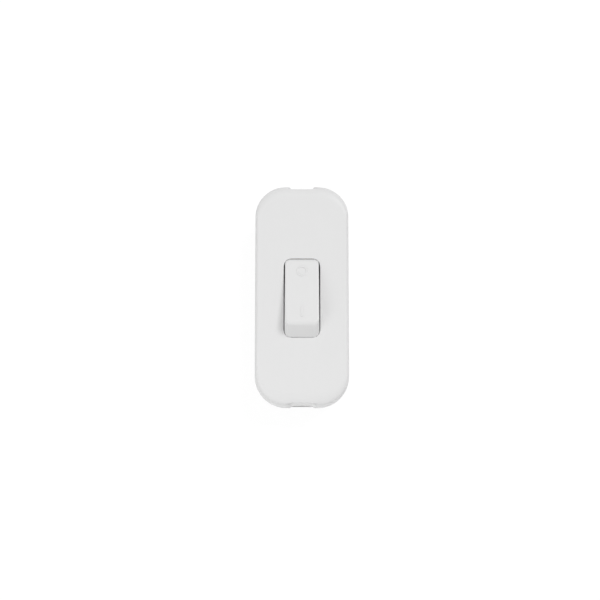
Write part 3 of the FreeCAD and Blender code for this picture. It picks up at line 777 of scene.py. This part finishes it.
class SWITCH_OT_marks(bpy.types.Operator):
    """Models the raised ring of the off end and the raised bar of the on end"""

    bl_idname = "cord_switch.marks"
    bl_label = "Marks"

    def execute(self, context):
        sizes = context.scene.switch_sizes
        top = PIVOT.z + sizes.rocker_rise
        middle = Vector((0, PIVOT.y + sizes.mark_reach, top))
        ring = bar("mark_off", sizes.mark_radius, 2 * sizes.mark_height, middle, sides=72)
        inner_radius = sizes.mark_radius - sizes.mark_stroke
        carve(ring, bar("ring_hole", inner_radius, 4 * sizes.mark_height, middle, sides=72))
        middle.y = PIVOT.y - sizes.mark_reach
        half = Vector((sizes.bar_width / 2, sizes.mark_length / 2, sizes.mark_height))
        stroke = block("mark_on", middle - half, middle + half)
        crown = top + sizes.mark_height
        for mark in (ring, stroke):
            round_rim(mark, lambda co: near(co.z, crown), 0.45 * sizes.mark_height)
            mark.data.transform(SWITCH_OT_rocker.rest(sizes))
            shade(mark)
            seat(mark, "rocker", "rocker_plastic")
        return {"FINISHED"}


class SWITCH_OT_plungers(bpy.types.Operator):
    """Models the hollow plungers and the coils inside them"""

    bl_idname = "cord_switch.plungers"
    bl_label = "Plungers and springs"

    def execute(self, context):
        sizes = context.scene.switch_sizes
        rest = SWITCH_OT_rocker.rest(sizes)
        tip = PIVOT.z - sizes.plunger_reach
        plunger = self.plunger(sizes)
        bottom = sizes.plunger_floor + sizes.wire_gap + sizes.wire_radius
        roof = PIVOT.z + sizes.rocker_rise - sizes.bore_roof - sizes.wire_gap - sizes.wire_radius
        pitch = (roof - tip - bottom) / sizes.coil_turns
        section = loop(10, Vector((sizes.coil_radius, 0, bottom)), sizes.wire_radius, sizes.wire_radius)
        coil = wound("coil", section, pitch, sizes.coil_turns, 24)
        shade(plunger)
        shade(coil, math.radians(60))
        for pole in POLES:
            place = Vector((pole_x(pole), PIVOT.y, tip))
            pin = moved(copied(plunger, f"plunger_pin_{pole}"), place)
            pin.data.transform(rest)
            seat(pin, f"plunger_{pole}", "plunger_steel", f"plunger_{pole}")
            spring = moved(copied(coil, f"plunger_coil_{pole}"), place)
            spring.data.transform(rest)
            seat(spring, "rocker", "spring_steel", f"plunger_spring_{pole}")
            height = roof - tip - bottom + 2 * sizes.wire_radius
            travel = joint(f"plunger_slide_{pole}")["range_m"][1]
            1 - travel / height
            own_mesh(spring)
        discard(plunger, coil)
        return {"FINISHED"}

    @staticmethod
    def plunger(sizes):
        """A turned pin that stands on its round nose, with a well for its spring."""
        reach = sizes.plunger_length
        pin = bar("plunger", sizes.plunger_radius, reach, (0, 0, reach / 2), sides=56)
        round_rim(pin, lambda co: near(co.z, 0), sizes.plunger_nose, 6)
        start_edit(pin)
        select_faces(pin, lambda centre, normal: near(centre.z, reach))
        bpy.ops.mesh.inset(thickness=sizes.plunger_radius - sizes.well_radius)
        depth = Vector((0, 0, sizes.plunger_floor - reach))
        bpy.ops.mesh.extrude_region_move(TRANSFORM_OT_translate={"value": depth})
        end_edit()
        round_rim(pin, lambda co: near(co.z, reach), sizes.well_edge, 2)
        return pin


class SWITCH_OT_terminals(bpy.types.Operator):
    """Models the terminal blocks and the earth connector with their screws"""

    bl_idname = "cord_switch.terminals"
    bl_label = "Terminals"

    def execute(self, context):
        sizes = context.scene.switch_sizes
        first = self.wire_block("terminal_block_left_o_end", ["terminal_screw_left_o_end"], 1)
        start = place_of("terminal_block_left_o_end")
        screw = self.screw(sizes, "terminal_screw_left_o_end", 1)
        for pole in POLES:
            for end in ENDS:
                node = f"terminal_block_{pole}_{end}"
                shift = place_of(node) - start
                piece = moved(copied(first, f"brass_block_{pole}_{end}"), shift)
                seat(piece, "housing", "terminal_brass", node)
                self.put_screw(sizes, screw, f"terminal_screw_{pole}_{end}")
        low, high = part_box("earth_connector")
        block_low, block_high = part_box("terminal_block_left_o_end")
        scale = (high.x - low.x) / (block_high.x - block_low.x)
        names = [f"earth_screw_{end}" for end in ENDS]
        earth = self.wire_block("earth_connector", names, scale)
        earth.name = "brass_earth_bar"
        seat(earth, "housing", "terminal_brass", "earth_connector")
        earth_screw = self.screw(sizes, names[0], scale)
        for name in names:
            self.put_screw(sizes, earth_screw, name)
        discard(first, screw, earth_screw)
        return {"FINISHED"}

    @staticmethod
    def screw(sizes, node, scale):
        """The screw of a node, with its head standing on the origin."""
        reach = height_of(node) - sizes.head_height
        radius = scale * (sizes.screw_radius - FIT)
        return slotted_screw(radius, sizes.thread_depth, sizes.thread_pitch, reach,
                             scale * sizes.head_radius, sizes.head_height)

    @staticmethod
    def put_screw(sizes, pattern, node):
        piece = copied(pattern, node.replace("screw", "cheese_screw"))
        moved(piece, place_of(node, high=True) - Vector((0, 0, sizes.head_height)))
        seat(piece, "housing", "screw_steel", node)

    @staticmethod
    def wire_block(node, screws, scale):
        """A brass bar with a wire hole along it and a plain round hole under each screw."""
        sizes = bpy.context.scene.switch_sizes
        low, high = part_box(node)
        piece = soften(block(node, low, high), sizes.block_edge)
        middle = (low + high) / 2
        middle.z = low.z + sizes.wire_hole_height
        radius = scale * sizes.wire_hole_radius
        carve(piece, bar("wire_hole", radius, 2 * (high.y - low.y), middle, ALONG, 48))
        for face in (low.y, high.y):
            SWITCH_OT_terminals.break_mouth(piece, Vector((middle.x, face, middle.z)), radius, "y")
        bore = scale * sizes.screw_radius
        for name in screws:
            place = place_of(name)
            place.z = high.z
            carve(piece, bar("screw_hole", bore, 2 * (high.z - middle.z), place, sides=48))
            SWITCH_OT_terminals.break_mouth(piece, place, bore, "z")
        shade(piece)
        return piece

    @staticmethod
    def break_mouth(piece, middle, radius, axis):
        """Breaks the edge of a round hole's mouth in a level or upright face."""
        sizes = bpy.context.scene.switch_sizes
        level = getattr(middle, axis)

        def on_mouth(co):
            return near(getattr(co, axis), level) and (co - middle).length < 1.02 * radius

        round_rim(piece, on_mouth, sizes.hole_edge, 2)


class SWITCH_OT_contacts(bpy.types.Operator):
    """Softens the stamped bridges, contacts and strips"""

    bl_idname = "cord_switch.contacts"
    bl_label = "Contacts and strips"

    def execute(self, context):
        for pole in POLES:
            for node, body, slot, width in (
                (f"contact_bridge_{pole}", f"bridge_{pole}", "bridge_copper", 0.14),
                (f"moving_contact_{pole}", f"bridge_{pole}", "contact_silver", 0.22),
                (f"fixed_contact_{pole}", "housing", "contact_silver", 0.22),
                (f"fixed_terminal_{pole}", "housing", "strip_brass", 0.12),
                (f"fulcrum_terminal_{pole}", "housing", "strip_brass", 0.06),
            ):
                piece = soften(cast_copy(node, f"{node}_stamped"), width * MM, 3)
                shade(piece)
                seat(piece, body, slot, node)
        return {"FINISHED"}


class SWITCH_OT_clamps(bpy.types.Operator):
    """Models the cord clamps with gripping grooves under their arches, and their screws"""

    bl_idname = "cord_switch.clamps"
    bl_label = "Cord clamps"

    def execute(self, context):
        sizes = context.scene.switch_sizes
        clamp = self.clamp(sizes)
        start = place_of("cord_clamp_o_end")
        screw = tapping_screw("clamp_screw_left_o_end", sizes.head_radius, sizes.head_height)
        for end in ENDS:
            node = f"cord_clamp_{end}"
            piece = moved(copied(clamp, f"nylon_clamp_{end}"), place_of(node) - start)
            seat(piece, "housing", "clamp_plastic", node)
            for pole in POLES:
                SWITCH_OT_terminals.put_screw(sizes, screw, f"clamp_screw_{pole}_{end}")
        discard(clamp, screw)
        return {"FINISHED"}

    @staticmethod
    def clamp(sizes):
        """The clamp of the O end: an arch over the cord between two wings."""
        low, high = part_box("cord_clamp_o_end")
        middle = (low + high) / 2
        middle.z = low.z
        across = high.y - low.y
        wings = block("clamp", low, Vector((high.x, high.y, low.z + sizes.clamp_wing)))
        soften(wings, sizes.clamp_edge, 3)
        arch = bar("arch", sizes.clamp_radius, across - FIT, middle, ALONG, 96)
        for side in (-1, 1):
            rim = middle.y + side * (across / 2 - FIT / 2)
            round_rim(arch, lambda co: near(co.y, rim), sizes.arch_edge)
        slice_off(arch, middle + Vector((0, 0, 0.4 * MM)), (0, 0, -1))
        carve(wings, arch, operation="UNION")
        carve(wings, bar("cord_way", sizes.cord_radius, 2 * across, middle, ALONG, 96))
        groove_radius = sizes.cord_radius + sizes.groove_depth
        groove_width, groove_spacing = 0.16 * across, 0.28 * across
        for offset in (-groove_spacing, 0, groove_spacing):
            place = middle + Vector((0, offset, 0))
            carve(wings, bar("groove", groove_radius, groove_width, place, ALONG, 96))
        for pole in POLES:
            place = place_of(f"clamp_screw_{pole}_o_end")
            place.z = low.z + sizes.clamp_wing / 2
            hole = bar("screw_hole", sizes.screw_radius + FIT, 2 * sizes.clamp_wing, place, sides=48)
            carve(wings, hole)
        shade(wings)
        return wings


class SWITCH_OT_screws(bpy.types.Operator):
    """Models the two screws that hold the shells together"""

    bl_idname = "cord_switch.screws"
    bl_label = "Housing screws"

    def execute(self, context):
        sizes = context.scene.switch_sizes
        screw = tapping_screw("housing_screw_o_end", sizes.housing_head_radius, sizes.housing_head_height)
        turn = Euler((math.pi, 0, 0)).to_matrix().to_4x4()
        for end in ENDS:
            node = f"housing_screw_{end}"
            place = place_of(node) + Vector((0, 0, sizes.housing_head_height))
            piece = moved(copied(screw, f"back_screw_{end}"), place, turn)
            seat(piece, "housing", "screw_steel", node)
        discard(screw)
        return {"FINISHED"}


# Stage


class SWITCH_OT_stage(bpy.types.Operator):
    """Lays the floor, hangs the lights and sets the camera at the photograph's angle"""

    bl_idname = "cord_switch.stage"
    bl_label = "Stage"

    def execute(self, context):
        stage = context.scene.switch_stage
        bpy.ops.mesh.primitive_plane_add(size=stage.floor_size)
        floor = named("floor")
        floor.data.materials.append(self.floor_finish(stage))
        context.scene.world = self.sky(stage)
        bpy.ops.object.light_add(type="SUN")
        key = context.object
        key.data.energy = stage.key_strength
        key.data.angle = stage.key_softness
        key.rotation_euler = (0, math.pi / 2 - stage.key_height, stage.key_side)
        bpy.ops.object.light_add(type="AREA", location=(stage.fill_x, stage.fill_y, stage.fill_height))
        fill = context.object
        fill.data.energy = stage.fill_power
        fill.data.size = stage.fill_size
        fill.rotation_euler = (-fill.location).to_track_quat("-Z", "Y").to_euler()
        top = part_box("upper_shell")[1].z
        aim = Vector((stage.camera_aim_x, stage.camera_aim_y, top))
        back = Vector((0, -math.sin(stage.camera_tilt), math.cos(stage.camera_tilt)))
        bpy.ops.object.camera_add(location=aim + back * stage.camera_distance)
        camera = context.object
        camera.rotation_euler = (stage.camera_tilt, 0, 0)
        camera.data.lens = stage.focal_length
        camera.data.sensor_width = 36
        camera.data.clip_start = 0.01
        context.scene.camera = camera
        context.scene.view_settings.view_transform = "Standard"
        return {"FINISHED"}

    @staticmethod
    def floor_finish(stage):
        """Pale paper that the camera and reflections see as a white sweep with a soft shadow."""
        shader = Shader(bpy.data.materials.new("Pale floor"))
        camera, glossy, passing = (
            shader.node("LightPath", {}, {}, name)
            for name in ("Is Camera Ray", "Is Glossy Ray", "Is Transmission Ray")
        )
        seen = shader.node("Math", {"operation": "MAXIMUM"}, (camera, glossy))
        seen = shader.node("Math", {"operation": "MAXIMUM"}, (seen, passing))
        grain = shader.noise(shader.place(), scale=900, detail=3)
        fleck, sheet = (0.76, 0.76, 0.76, 1), (0.8, 0.8, 0.8, 1)
        lit = shader.principled(Base_Color=shader.blend(grain, fleck, sheet), Roughness=0.9)
        glow = shader.node("Emission", {}, {"Color": (1, 1, 1, 1), "Strength": stage.floor_glow})
        share = stage.floor_share * seen
        return shader.finish(shader.node("MixShader", {}, {"Fac": share, 1: lit, 2: glow}))

    @staticmethod
    def sky(stage):
        """A soft sky, a little stronger near the horizon, which the camera sees as plain white."""
        shader = Shader(bpy.data.worlds.new("Soft studio"))
        way = shader.node("TexCoord", {}, {}, "Generated")
        rise = shader.node("SeparateXYZ", {}, {"Vector": way}, "Z")
        span = {"Value": rise, "To Min": stage.sky_horizon, "To Max": stage.sky_strength}
        lift = shader.node("MapRange", {}, span)
        camera = shader.node("LightPath", {}, {}, "Is Camera Ray")
        lamp = shader.node("Background", {}, {"Color": (1, 1, 1, 1), "Strength": lift})
        plain = shader.node("Background", {}, {"Color": (1, 1, 1, 1), "Strength": 1.0})
        mixed = shader.node("MixShader", {}, {"Fac": camera, 1: lamp, 2: plain})
        return shader.finish(mixed, "OutputWorld")


# Panel and registration


class SWITCH_PT_panel(bpy.types.Panel):
    """Sizes, colours and the pieces to make"""

    bl_idname = "SWITCH_PT_panel"
    bl_label = "Cord switch"
    bl_space_type = "VIEW_3D"
    bl_region_type = "UI"
    bl_category = "Cord switch"

    def draw(self, context):
        for group in GROUPS:
            settings = getattr(context.scene, group)
            box = self.layout.box()
            for name in settings.__annotations__:
                box.prop(settings, name)
        for maker in MAKERS:
            self.layout.operator(maker.bl_idname)


GROUPS = {"switch_sizes": SwitchSizes, "switch_colours": SwitchColours, "switch_stage": SwitchStage}
MAKERS = (
    SWITCH_OT_housing,
    SWITCH_OT_rocker,
    SWITCH_OT_marks,
    SWITCH_OT_plungers,
    SWITCH_OT_terminals,
    SWITCH_OT_contacts,
    SWITCH_OT_clamps,
    SWITCH_OT_screws,
    SWITCH_OT_stage,
)


def register():
    for kind in (*GROUPS.values(), *MAKERS, SWITCH_PT_panel):
        bpy.utils.register_class(kind)
    for name, group in GROUPS.items():
        setattr(bpy.types.Scene, name, PointerProperty(type=group))


def unregister():
    for name in GROUPS:
        delattr(bpy.types.Scene, name)
    for kind in (SWITCH_PT_panel, *reversed(MAKERS), *GROUPS.values()):
        bpy.utils.unregister_class(kind)


def main():
    """Makes every piece and the stage."""
    register()
    make_finishes()
    for maker in MAKERS:
        group, name = maker.bl_idname.split(".")
        getattr(getattr(bpy.ops, group), name)()


if __name__ == "__main__":
    main()
